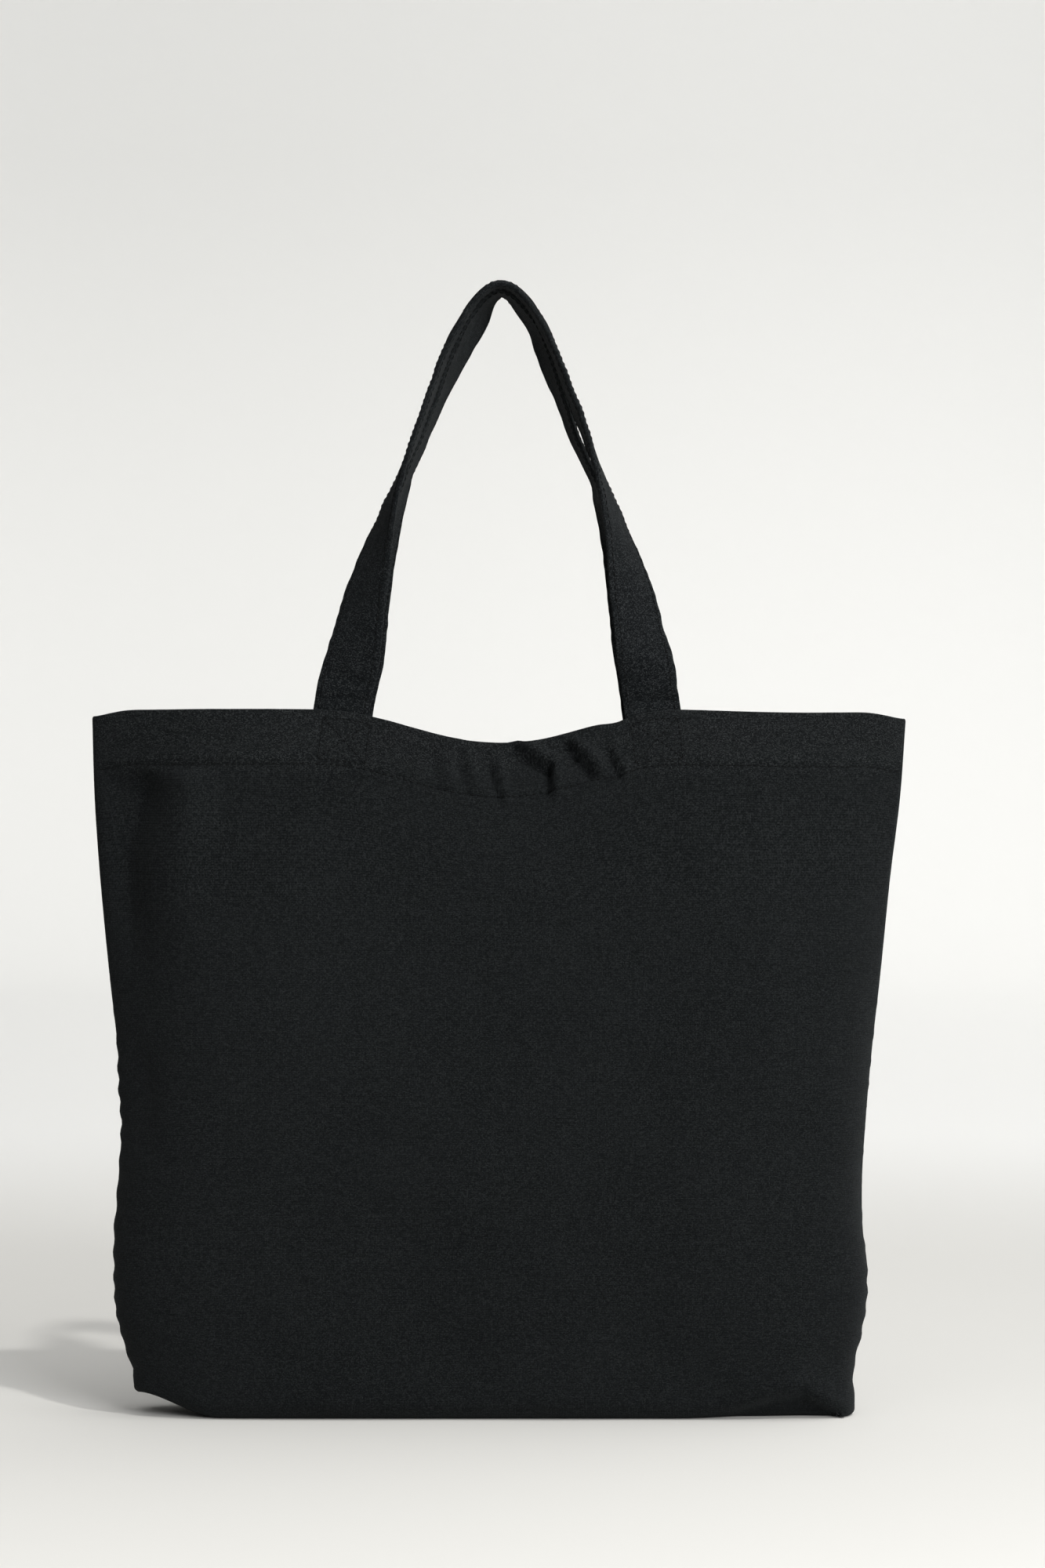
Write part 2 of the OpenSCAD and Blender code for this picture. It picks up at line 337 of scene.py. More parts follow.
def apply_modifiers(obj):
    depsgraph = bpy.context.evaluated_depsgraph_get()
    mesh = bpy.data.meshes.new_from_object(obj.evaluated_get(depsgraph))
    old = obj.data
    obj.modifiers.clear()
    obj.data = mesh
    bpy.data.meshes.remove(old)
    return obj


def thicken(obj, thickness):
    m = obj.modifiers.new("cloth", "SOLIDIFY")
    m.thickness, m.offset = thickness * MM, 0.0
    return apply_modifiers(obj)


TUBE_SIDES = 6


def tube(path, radius, sides=TUBE_SIDES):
    """Points and faces of a thread along a path, closed at both ends."""
    path = np.asarray(path, float)
    t = np.gradient(path, axis=0)
    t /= np.maximum(np.linalg.norm(t, axis=1, keepdims=True), 1e-9)
    up = np.tile([0.31, 0.55, 0.77], (len(path), 1))
    a = np.cross(t, up)
    a /= np.linalg.norm(a, axis=1, keepdims=True)
    b = np.cross(t, a)
    radius = np.broadcast_to(radius, len(path))[:, None, None]
    ang = np.arange(sides) * math.tau / sides
    ring = np.cos(ang)[None, :, None] * a[:, None] + np.sin(ang)[None, :, None] * b[:, None]
    pts = (path[:, None] + radius * ring).reshape(-1, 3)
    n = len(path)
    caps = [list(range(sides))[::-1], [(n - 1) * sides + k for k in range(sides)]]
    return pts, grid_faces(n, sides, wrap=True) + caps


class Parts:
    """Gathers many small meshes into one object."""

    def __init__(self):
        self.points, self.faces, self.uvs, self.count = [], [], [], 0

    def add(self, points, faces, uvs=None):
        self.points.append(points)
        self.faces += [[i + self.count for i in f] for f in faces]
        self.uvs.append(np.zeros((len(points), 2)) if uvs is None else uvs)
        self.count += len(points)

    def object(self, name):
        return new_object(name, np.concatenate(self.points), self.faces, np.concatenate(self.uvs))


# One stitch: share of its length, share of its thickness, and how far it has risen out of the cloth
STITCH_PROFILE = [(0.0, 0.25, 0), (0.12, 0.75, 0.62), (0.35, 1.0, 1), (0.65, 1.0, 1), (0.88, 0.75, 0.62),
                  (1.0, 0.25, 0)]


def stitch_row(parts, points, normals, length=3.1, gap=0.7, radius=0.3, sink=0.35):
    """Single stitches along a line on the cloth: each rises out of its hole, lies along, and goes back in."""
    points, normals = np.asarray(points, float), np.asarray(normals, float)
    s = run_length(points)
    n = max(1, int(round(s[-1] / (length + gap))))
    pitch = s[-1] / n
    share, thick, rise = np.array(STITCH_PROFILE).T
    for k in range(n):
        at = k * pitch + gap / 2 + share * (pitch - gap)
        middle = resample(at, s, points)
        out = resample(at, s, normals)
        pts, faces = tube(middle + out * (rise[:, None] * (radius + sink) - sink), radius * thick)
        around = np.tile(np.arange(TUBE_SIDES) * 0.3, len(at))
        parts.add(pts, faces, np.stack([np.repeat(at, TUBE_SIDES), around], -1))


# ---------------------------------------------------------------- the two panels
ROLL_STEPS, BASE_ROWS = 9, 15
GUSSET = 0.095                                    # share of the width from a side seam to the base corner
SEAM_STEPS = np.array([0.5, 1.6, 3.5, 6.0, 9.0])  # how far the columns of a seam allowance lie inside
SEAM_PLANE = 0.5                                  # half the gap between the middles of two sewn layers
SEAM_WAVE = 0.9                                   # how far the raw edge of a side allowance sways


def panel_rows():
    """Nominal heights of the rows of the wall, from the rim down to the start of the roll."""
    hem = np.arange(0, HEM_D + 4, 1.5)
    wall = np.arange(HEM_D + 6, RIM_H - ROLL, STEP)
    return RIM_H - np.concatenate([hem, wall, [RIM_H - ROLL]])


def wall_grid(side):
    """Middle surface of the outer cloth of one panel, as if it were the front one, and its heights."""
    heights = panel_rows()
    outline = outline_rows(heights)
    x, y = outline[..., 0], outline[..., 1]
    z = heights[:, None] - rim_drop(x) * ease(270, RIM_H - HEM_D, heights)[:, None]
    grid = np.stack([x, y, z], -1)
    # The roll at the bottom: wide at the front, tight at the gussets
    flat_n = normals_of(grid)[-1] * [1, 1, 0]
    flat_n /= np.linalg.norm(flat_n, axis=-1, keepdims=True)
    front = ease(0.055, 0.125, np.minimum(SHARE, 1 - SHARE))
    roll = []
    for k in range(1, ROLL_STEPS + 1):
        t = k / ROLL_STEPS
        a = t * math.pi / 2
        b = max(0, (t - 0.5) / 0.5) * math.pi / 2
        z_front, in_front = ROLL * (1 - math.sin(a)), ROLL * (1 - math.cos(a))
        z_side = CORNER_ROLL * (1 - math.sin(b)) + (ROLL - CORNER_ROLL) * max(0, 1 - t / 0.5)
        in_side = CORNER_ROLL * (1 - math.cos(b))
        inset = front * in_front + (1 - front) * in_side
        row = grid[-1] - flat_n * inset[:, None]
        row[:, 2] = front * z_front + (1 - front) * z_side
        roll.append(row)
    grid = np.concatenate([grid, np.array(roll)])
    grid[..., 2] += CLOTH_T / 2 * (1 - grid[..., 2] / RIM_H)           # its lower face is on the ground
    h = np.maximum(RIM_H - rim_drop(grid[..., 0]) - grid[..., 2], 0)
    grid = sculpt(side, grid, h)
    share = np.broadcast_to(SHARE, h.shape)
    lift = relief(side, grid[..., 0], h, grid[..., 2], share)
    keep = ease(0.5, 9, grid[..., 2]) * ease(0, 0.012, np.minimum(share, 1 - share))
    grid = grid + normals_of(grid) * (lift * keep)[..., None]
    grid[..., 1] = np.minimum(grid[..., 1], -SEAM_PLANE)
    return grid, h


def add_seam_columns(grid, h, wave):
    """Turns the cloth inwards past both side seams, where it is sewn to the other panel."""
    length = 0.12 + 0.88 * ease(HEM_D + 1, HEM_D + 10, h)              # the allowance is cut short in the hem
    rows = [grid]
    for end, sign in ((0, 1), (-1, -1)):
        edge, reach = grid[:, end], length[:, end]
        extra = []
        for d in SEAM_STEPS:
            p = edge.copy()
            p[:, 0] += sign * d * reach
            bow = wave * SEAM_WAVE * np.sin(p[:, 2] / 24 + 1.3 * sign)
            p[:, 1] = -SEAM_PLANE + bow * (d / SEAM_STEPS[-1]) * reach
            extra.append(p)
        extra = np.stack(extra, 1)
        rows = [extra[:, ::-1]] + rows if end == 0 else rows + [extra]
    return np.concatenate(rows, 1)


def build_panel(side):
    """One panel: the turned-under raw edge, the hem's inside, the fold, the outside, and half the base."""
    wave = 1 if side == "front" else -1
    grid, h = wall_grid(side)
    n = normals_of(grid)
    hem_rows = int(np.sum(panel_rows() >= RIM_H - HEM_D - 0.1))
    lower = hem_rows - 1
    inner = []
    for r in range(lower - hem_rows // 3, lower + 1):                  # the raw edge, folded under
        inner.append(grid[r] - n[r] * LAYER)
    turn = grid[lower] - n[lower] * 1.5 * LAYER
    turn[:, 2] -= 0.5 * LAYER
    inner.append(turn)
    for r in range(lower, -1, -1):                                     # the inside of the hem, going up
        inner.append(grid[r] - n[r] * 2 * LAYER)
    for k in range(1, 4):                                              # over the rim
        a = k * math.pi / 4
        p = grid[0] - n[0] * LAYER * (1 + math.cos(a))
        p[:, 2] += LAYER * math.sin(a)
        inner.append(p)
    inner = np.array(inner)
    inner[..., 1] = np.minimum(inner[..., 1], -SEAM_PLANE)
    full = np.concatenate([inner, grid])
    full_h = np.concatenate([np.zeros(inner.shape[:2]), h])
    full = add_seam_columns(full, full_h, wave)
    rows, cols = full.shape[:2]
    extra = len(SEAM_STEPS)

    v = run_length(full[:, cols // 2])
    u = np.concatenate([-SEAM_STEPS[::-1], SHARE * FLAT_W, FLAT_W + SEAM_STEPS])
    uv = grid_uvs(u, v)
    points, faces = full.reshape(-1, 3), grid_faces(rows, cols)

    # Half the base, between the two boxed corners
    c0 = extra + int(round(GUSSET * COLUMNS))
    c1 = extra + COLUMNS - int(round(GUSSET * COLUMNS))
    last = full[-1, c0:c1 + 1]
    line = np.linspace(-1, 1, c1 - c0 + 1)
    left_end = full[-1, extra + 3, 0] + 0.6                            # the ends of the base seam
    right_end = full[-1, -extra - 4, 0] - 0.6
    line_x = np.where(line < 0, -line * left_end, line * right_end)
    base = []
    for t in np.linspace(0, 1, BASE_ROWS + 1)[1:]:
        p = last.copy()
        p[:, 0] += (line_x - last[:, 0]) * ease(0, 0.5, t)
        p[:, 1] = last[:, 1] * (1 - t) - SEAM_PLANE * t
        p[:, 2] = last[:, 2] + 0.5 * np.abs(ripple(p[:, 0], p[:, 1], 60, 5)) * math.sin(math.pi * t) ** 2
        base.append(p)
    for d in (0.6, 2.0, 5.0, 9.0):                                     # the base seam's allowance stands up
        p = base[-1].copy()
        p[:, 2] = last[:, 2] + d
        base.append(p)
    base = np.array(base)
    start = len(points)
    k = c1 - c0 + 1
    first = np.arange((rows - 1) * cols + c0, (rows - 1) * cols + c1 + 1)
    join = [[first[i], first[i + 1], start + i + 1, start + i] for i in range(k - 1)]
    faces = faces + join + grid_faces(len(base), k, start)
    base_v = v[-1] + run_length(np.concatenate([last[None], base])[:, k // 2])[1:]
    points = np.concatenate([points, base.reshape(-1, 3)])
    uv = np.concatenate([uv, grid_uvs(u[c0:c1 + 1], base_v)])
    if side == "back":
        points = points * [1, -1, 1]
    else:
        faces = [f[::-1] for f in faces]
    points = settle(points)
    obj = new_object(f"{side}_cloth", points, faces, uv)
    return thicken(obj, CLOTH_T), grid, n


panels, surfaces = {}, {}
for side in ("front", "back"):
    panels[side], grid, normal = build_panel(side)
    mirror = np.array([1, 1 if side == "front" else -1, 1])
    surfaces[side] = (grid * mirror, normal * mirror)
    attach(panels[side], "bag")
    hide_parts(f"{side}_panel")
    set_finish(panels[side], "canvas")


# ---------------------------------------------------------------- the two straps
STRAP_T, STRAP_STEP = 3.0, 1.6                    # thickness, and spacing of the points along a strap
STRAP_STITCH_W = STRAP_W / 2 - 2.6                # the edge stitching, from the strap's middle line
SEWN = 16                                         # steps at each sewn end that have no edge stitching
FOOT_Z = RIM_H - 27.0                             # lower end of a strap, inside the hem
# Middle line of each arm from its sewn end to the top: height, distance from the middle, depth from the
# middle of the bag, and turn of the face (0 faces front or back, 90 faces along the bag)
FRONT_ARM = [(FOOT_Z, 86.5, 22.6, 0), (RIM_H - 4, 84.6, 22.6, 0), (RIM_H + 10, 82.6, 22.6, 3),
             (407, 81.4, 22.4, 9), (415, 79.8, 22.2, 17), (423.5, 78.1, 21.8, 26), (440.7, 75.2, 20.9, 40),
             (458, 71.5, 19.8, 50), (475, 67.4, 18.8, 61), (492, 62.6, 17.9, 72), (501, 59.8, 17.4, 77),
             (509, 57.0, 17.1, 82), (518, 54.0, 16.9, 87), (526, 50.8, 16.8, 90), (543, 44.3, 16.7, 93),
             (560, 38.6, 16.6, 94), (577, 32.3, 16.5, 94), (594, 24.6, 16.4, 93), (603, 19.8, 16.3, 92),
             (610.2, 15.4, 16.3, 91), (615.4, 10.8, 16.2, 90), (618.6, 6.9, 16.2, 90), (620.3, 3.4, 16.2, 90)]
BACK_ARM = [(FOOT_Z, 86.2, 22.6, 0), (RIM_H - 4, 84.2, 22.6, 0), (RIM_H + 10, 82.2, 22.6, 3),
            (407, 81.0, 22.4, 9), (415, 79.4, 22.2, 17), (423.5, 77.6, 21.8, 26), (440.7, 74.3, 20.9, 43),
            (458, 70.2, 19.8, 54), (475, 65.5, 18.8, 65), (492, 60.0, 17.9, 75), (504, 55.4, 17.4, 81),
            (512, 52.6, 17.1, 84), (521, 49.4, 16.9, 86), (530, 45.9, 16.8, 86), (547, 39.2, 16.7, 85),
            (564, 32.7, 16.6, 82), (573, 28.9, 16.5, 79), (582, 25.3, 16.5, 77), (590, 21.3, 16.4, 77),
            (599, 17.0, 16.4, 78), (606.5, 12.9, 16.3, 80), (612.6, 9.2, 16.3, 83), (617, 5.8, 16.2, 86),
            (619.4, 3.0, 16.2, 88)]
TOP = {"front": 620.9, "back": 620.3}
# The two arms aren't mirror images. Each row: arm (1 right, -1 left), how far it moves sideways or turns,
# at what height, and how far that spreads up and down.
ARM_SHIFTS = {"front": [(1, 0.6, 538, 13)],
              "back": [(1, 2.8, 599, 14), (1, -0.9, 538, 13), (1, 0.9, 514, 7), (-1, 1.1, 607, 13),
                       (-1, -2.0, 520, 22)]}
ARM_TURNS = {"front": [(1, -8, 450, 26), (-1, -4, 450, 26)],
             "back": [(1, 5, 600, 14), (-1, -8, 605, 13), (1, -8, 450, 26), (-1, -4, 450, 26)]}


def strap_route(side):
    """The strap's middle line from the left sewn end to the right one, in even steps, and its turn."""
    arm = FRONT_ARM if side == "front" else BACK_ARM
    left = [(-x, y, z, a) for z, x, y, a in arm]
    right = [(x, y, z, a) for z, x, y, a in reversed(arm)]
    knots = np.array(left + [(0, 16.2, TOP[side], 90)] + right, float)
    s = run_length(knots[:, :3])
    dense = curve(np.column_stack([s, knots]), np.linspace(0, s[-1], 3000))
    d = run_length(dense[:, :3])
    even = np.linspace(0, d[-1], int(d[-1] / STRAP_STEP) + 1)
    route = resample(even, d, dense)
    kernel = np.array([1, 3, 5, 6, 5, 3, 1]) / 24
    for _ in range(2):
        soft = np.stack([np.convolve(np.pad(column, 3, mode="edge"), kernel, "valid")
                         for column in route.T], -1)
        route[3:-3] = soft[3:-3]
    x, z = route[:, 0].copy(), route[:, 2]
    on_arm = {1: x > 0, -1: x < 0}
    route[:, 0] += 0.9 * ease(440, 520, z) - 1.9 * on_arm[-1] * (1 - ease(390, 418, z))
    for arm, shift, height, spread in ARM_SHIFTS[side]:
        route[:, 0] += shift * on_arm[arm] * bell(z, height, spread)
    for arm, turn, height, spread in ARM_TURNS[side]:
        route[:, 3] += turn * on_arm[arm] * bell(z, height, spread)
    # Just above the rim a strap twists back, and bows out a little before it leans in to the other one
    twist_back = 15 * on_arm[1] + 3 * on_arm[-1]
    route[:, 3] -= twist_back * between(z, RIM_H + 1, RIM_H + 11, RIM_H + 16, RIM_H + 44)
    route[:, 1] += 4.0 * between(z, RIM_H + 3, RIM_H + 34, RIM_H + 34, RIM_H + 95)
    if side == "front":
        below, above = ease(0, HEM_D + 2, RIM_H - z), ease(0, 60, z - RIM_H)
        route[:, 1] = -(route[:, 1] - HEM_LEAN * (1 - np.maximum(below, above)))
    return route, even


def strap_frames(route, side):
    """Centre, width direction and outward face direction at each step of a strap."""
    t = np.gradient(route[:, :3], axis=0)
    t[:, 1] = 0
    t /= np.linalg.norm(t, axis=1, keepdims=True)
    turn = np.radians(route[:, 3])[:, None]
    inner = np.stack([t[:, 2], np.zeros(len(t)), -t[:, 0]], -1)       # towards the inside of the loop
    out_y = np.array([0, -1 if side == "front" else 1, 0])
    width = np.cos(turn) * inner + np.sin(turn) * out_y
    face = np.cross(width, t) if side == "front" else np.cross(t, width)
    return route[:, :3], width, face


def strap_outline():
    """Cross-section of the folded strap: across, thickness. Round edges, dents along the edge stitching."""
    half, count = STRAP_W / 2, 19
    w = np.sin(np.linspace(-1, 1, count) * math.pi / 2) * half
    w = 0.35 * w + 0.65 * np.linspace(-half, half, count)
    edge = np.clip((half - np.abs(w)) / 1.6, 0, 1)
    t = STRAP_T / 2 * (0.45 + 0.55 * np.sqrt(1 - (1 - edge) ** 2))
    t = t - 0.32 * bell(np.abs(w), STRAP_STITCH_W, 1.1) + 0.08 * bell(w, 0, 7)
    upper = np.stack([w, t], -1)
    lower = np.stack([w[::-1], -t[::-1]], -1)
    rims = [np.array([[half + 0.35, 0.45], [half + 0.1, 0.0], [half + 0.35, -0.45]]),
            np.array([[-half - 0.4, -0.4], [-half - 0.5, 0.0], [-half - 0.4, 0.4]])]
    return np.concatenate([upper, rims[0], lower, rims[1]])


CUP = {"front": 1.1, "back": 0.9}


def strap_surface(side, across, lift):
    """Points on a strap at a place across it, lifted from its middle layer, for its whole length."""
    route, even = strap_route(side)
    centre, width, face = strap_frames(route, side)
    s = even[:, None]
    across, lift = np.broadcast_arrays(np.atleast_1d(across)[None, :], np.atleast_1d(lift)[None, :])
    free = ease(25, 60, s) * ease(25, 60, even[-1] - s)
    cup = CUP[side] * free * ((across / (STRAP_W / 2)) ** 2 - 0.4)
    seed = 71 if side == "front" else 89
    wave = free * (0.35 * ripple(s, across * 1.5, 60, seed) + 0.12 * ripple(s, across, 17, seed + 1))
    # The strap creases just above the rim
    up = centre[:, 2][:, None] - RIM_H - 0.12 * across
    wave = wave - 1.2 * bell(up, 5.5, 2.2) + 0.8 * bell(up, 11, 3.0)
    wave = wave - 0.8 * bell(up + 0.25 * across, 17.5, 2.6)
    edge = free * 0.14 * ripple(s, np.sign(across) * 40, 9, seed + 2) * (np.abs(across) > STRAP_W / 2 - 2)
    p = (centre[:, None] + width[:, None] * (across + edge)[..., None]
         + face[:, None] * (lift + wave - cup)[..., None])
    return p, face, even


straps = {}
for side in ("front", "back"):
    outline = strap_outline()
    rings, _, even = strap_surface(side, outline[:, 0], outline[:, 1])
    n, k = rings.shape[:2]
    faces = grid_faces(n, k, wrap=True)
    caps = [list(range(k))[::-1], [(n - 1) * k + i for i in range(k)]]
    if side == "back":
        faces = [f[::-1] for f in faces]
        caps = [c[::-1] for c in caps]
    uv = grid_uvs(run_length(outline), even)
    strap = new_object(f"{side}_strap", rings.reshape(-1, 3), faces + caps, uv)
    straps[side] = strap
    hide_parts(f"{side}_handle", f"{side}_left_strap_end", f"{side}_right_strap_end")
    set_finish(strap, "strap_canvas")
    parts = Parts()
    for lift in (1, -1):
        for across in (-STRAP_STITCH_W, STRAP_STITCH_W):
            pts, face, _ = strap_surface(side, across, lift * (STRAP_T / 2 - 0.22))
            stitch_row(parts, pts[SEWN:-SEWN, 0], face[SEWN:-SEWN] * lift, length=2.9, radius=0.27, sink=0.3)
    thread = parts.object(f"{side}_strap_stitches")
    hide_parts(f"{side}_handle_stitch")
    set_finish(thread, "thread")
    straps[side + "_thread"] = thread


# ---------------------------------------------------------------- stitches on the bag
def on_cloth(side, x, h):
    """Point and outward normal of a panel's outer cloth at x and at a distance below the rim."""
    grid, normal = surfaces[side]
    heights = RIM_H - panel_rows()
    row = float(np.interp(h, heights, np.arange(len(heights))))
    r0 = min(int(row), len(grid) - 2)
    f = row - r0
    col = float(np.interp(x, grid[r0, :, 0], np.arange(grid.shape[1])))
    c0 = min(int(col), grid.shape[1] - 2)
    g = col - c0
    out = []
    for field in (grid, normal):
        top = field[r0, c0] * (1 - g) + field[r0, c0 + 1] * g
        low = field[r0 + 1, c0] * (1 - g) + field[r0 + 1, c0 + 1] * g
        out.append(top * (1 - f) + low * f)
    return out[0], out[1] / np.linalg.norm(out[1])


def cloth_line(side, path, lift, spacing=0.9):
    """Points and normals along straight runs on the cloth; path is a list of (x, below the rim)."""
    pts, nrm = [], []
    for (xa, ha), (xb, hb) in zip(path[:-1], path[1:]):
        n = max(2, int(math.hypot(xb - xa, hb - ha) / spacing))
        for t in np.linspace(0, 1, n):
            p, m = on_cloth(side, xa + (xb - xa) * t, ha + (hb - ha) * t)
            pts.append(p + m * lift)
            nrm.append(m if lift > 0 else -m)
    return pts, nrm


HEM_STITCH_END = 221                              # its stitches reach this far to each side
for side in ("front", "back"):
    parts = Parts()
    hem_line = [(-HEM_STITCH_END, HEM_STITCH_H), (HEM_STITCH_END, HEM_STITCH_H)]
    for lift in (CLOTH_T / 2, -CLOTH_T / 2 - 2 * LAYER):
        stitch_row(parts, *cloth_line(side, hem_line, lift))
    thread = parts.object(f"{side}_hem_stitches")
    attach(thread, "bag")
    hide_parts(f"{side}_hem_stitch")
    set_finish(thread, "thread")

    for end, sign in ENDS:
        mid = sign * STRAP_X + (BOX_SHIFT[end] if side == "front" else 0)
        slant = sign * BOX_LEAN * 12                                   # half the sideways run of its sides
        top, low = BOX_MID_H - BOX_HALF_H, BOX_MID_H + BOX_HALF_H
        a, b = (mid - BOX_HALF_W - slant, top), (mid + BOX_HALF_W - slant, top)
        c, d = (mid + BOX_HALF_W + slant, low), (mid - BOX_HALF_W + slant, low)
        parts = Parts()
        for lift in (CLOTH_T / 2, -CLOTH_T / 2 - 2 * LAYER - STRAP_T - 0.1):
            for run in ([a, b], [b, c], [c, d], [d, a], [a, c], [b, d]):
                stitch_row(parts, *cloth_line(side, run, lift), length=2.6, gap=0.6, radius=0.28)
        thread = parts.object(f"{side}_{end}_box_stitches")
        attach(thread, "bag")
        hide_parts(f"{side}_{end}_box_stitch")
        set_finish(thread, "thread")


# ---------------------------------------------------------------- bound seam allowances inside
def binding(parts, path, across, pitch=2.6, width=5.0, radius=0.3, lift=1.0):
    """Overlock thread that wraps a raw edge: across points from the edge into the cloth."""
    path = settle(path)
    s = run_length(path)
    turns = int(s[-1] / pitch)
    t = np.linspace(0, 1, turns * 8 + 1)
    base = resample(t * s[-1], s, path)
    tangent = np.gradient(base, axis=0)
    tangent /= np.linalg.norm(tangent, axis=1, keepdims=True)
    across = np.asarray(across, float)
    normal = np.cross(tangent, across)
    phase = t * turns * math.tau
    reach = (0.5 - 0.5 * np.cos(phase)) * width
    loop = base + across * (reach - 0.5)[:, None] + normal * (lift * np.sin(phase))[:, None]
    pts, faces = tube(loop, radius, sides=5)
    parts.add(pts, faces)
    for off in (-0.4, width):
        for sgn in (1, -1):
            pts, faces = tube(base[::4] + across * off + normal[::4] * sgn * lift * (0.2 if off < 0 else 1),
                              radius, sides=5)
            parts.add(pts, faces)


SEAM_POINTS = 120
BASE_SEAM_END, BASE_SEAM_H = 182, 9.3             # half length of the base seam, and height of its raw edge


def side_allowance(sign):
    """Raw edge of a side seam's allowance, from under the hem down to the base."""
    z = np.linspace(RIM_H - HEM_D - 6, 16, SEAM_POINTS)
    half = np.where(sign < 0, curve(LEFT_W, z), curve(RIGHT_W, z))
    return np.stack([sign * (half - SEAM_STEPS[-1]), SEAM_WAVE * np.sin(z / 24 - 1.3 * sign), z], -1)


base_edge = np.zeros((SEAM_POINTS, 3))
base_edge[:, 0] = np.linspace(-BASE_SEAM_END, BASE_SEAM_END, SEAM_POINTS)
base_edge[:, 2] = BASE_SEAM_H
seam_paths = {
    "left_side_seam": (side_allowance(-1), (-1, 0, 0)),
    "right_side_seam": (side_allowance(1), (1, 0, 0)),
    "base_seam": (base_edge, (0, 0, -1)),
}
for node, (path, across) in seam_paths.items():
    parts = Parts()
    binding(parts, path, across)
    thread = parts.object(f"{node}_binding")
    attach(thread, "bag")
    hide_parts(node)
    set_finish(thread, "seam_edge")

# The boxed corners' allowances: two layers of cloth that stand across the ends of the base
CORNER_X, CORNER_Z, CORNER_T = 188.6, 0.9, 1.8    # where it starts, and the thickness of both layers
CORNER_HALF, CORNER_H = 27.0, 8.5                 # half its length, and its height
CORNER_SLOPE, CORNER_ROUND = 0.35, 3.5            # it leans inwards, and its ends are rounded off
CORNER_ROWS, CORNER_COLS = 7, 60
for end, sign in ENDS:
    y = np.linspace(-CORNER_HALF, CORNER_HALF, CORNER_COLS)
    rows = []
    for d in np.linspace(0, CORNER_H, CORNER_ROWS):
        x = np.full(CORNER_COLS, sign * (CORNER_X - CORNER_SLOPE * d))
        z = CORNER_Z + d - CORNER_ROUND * (d / CORNER_H) * (np.abs(y) / CORNER_HALF) ** 4
        rows.append(np.stack([x, y, z], -1))
    uv = grid_uvs(y, np.arange(CORNER_ROWS) * 1.4)
    corner = new_object(f"{end}_corner_allowance", settle(np.concatenate(rows)),
                        grid_faces(CORNER_ROWS, CORNER_COLS), uv)
    thicken(corner, CORNER_T)
    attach(corner, "bag")
    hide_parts(f"{end}_corner_seam")
    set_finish(corner, "canvas")
    parts = Parts()
    binding(parts, rows[-1], (0.0, 0, -1), lift=1.3)
    thread = parts.object(f"{end}_corner_binding")
    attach(thread, "bag")
    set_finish(thread, "seam_edge")


# ---------------------------------------------------------------- materials
class Nodes:
    """Short calls that add nodes to one material and link them."""

    def __init__(self, name):
        self.material = bpy.data.materials.new(name)
        self.material.use_nodes = True
        self.tree = self.material.node_tree
        self.shader = self.tree.nodes["Principled BSDF"]

    def put(self, kind, values=(), **settings):
        node = self.tree.nodes.new(kind)
        for key, value in settings.items():
            setattr(node, key, value)
        for i, value in enumerate(values):
            self.feed(node.inputs[i], value)
        return node

    def feed(self, socket, value):
        if value is None:
            return
        if isinstance(value, bpy.types.NodeSocket):
            self.tree.links.new(value, socket)
        else:
            socket.default_value = value

    def math(self, operation, a, b=None):
        return self.put("ShaderNodeMath", (a, b), operation=operation).outputs[0]

    def weighted(self, *terms):
        """Sum of (value, weight) terms."""
        total = None
        for value, weight in terms:
            part = self.math("MULTIPLY", value, weight)
            total = part if total is None else self.math("ADD", total, part)
        return total

    def spread(self, value, low, high, to_low=0.0, to_high=1.0):
        return self.put("ShaderNodeMapRange", (value, low, high, to_low, to_high),
                        interpolation_type="SMOOTHSTEP").outputs[0]

    def noise(self, vector, scale, detail=2.0, roughness=0.5):
        node = self.put("ShaderNodeTexNoise")
        self.feed(node.inputs["Vector"], vector)
        node.inputs["Scale"].default_value = scale
        node.inputs["Detail"].default_value = detail
        node.inputs["Roughness"].default_value = roughness
        return node.outputs["Fac"]

    def stretched(self, vector, x, y):
        return self.put("ShaderNodeVectorMath", (vector, (x, y, 1.0)), operation="MULTIPLY").outputs[0]

    def mix(self, factor, a, b):
        node = self.put("ShaderNodeMix", data_type="RGBA")
        self.feed(node.inputs[0], factor)
        self.feed(node.inputs[6], a)
        self.feed(node.inputs[7], b)
        return node.outputs[2]

    def bump(self, height, strength, distance):
        node = self.put("ShaderNodeBump")
        node.inputs["Strength"].default_value = strength
        node.inputs["Distance"].default_value = distance
        self.feed(node.inputs["Height"], height)
        self.feed(self.shader.inputs["Normal"], node.outputs[0])


FLECK = (0.045, 0.048, 0.05, 1)                   # pale fibres in the yarn
PAINTED_YARN_HIGHLIGHT = (0.030, 0.0325, 0.0335, 1)             # painted highlight: single yarn tops painted lighter
WANDER = 0.7                                      # how far yarns stray from their place, in yarns
WEAVE_RELIEF = 0.28                               # height of the weave


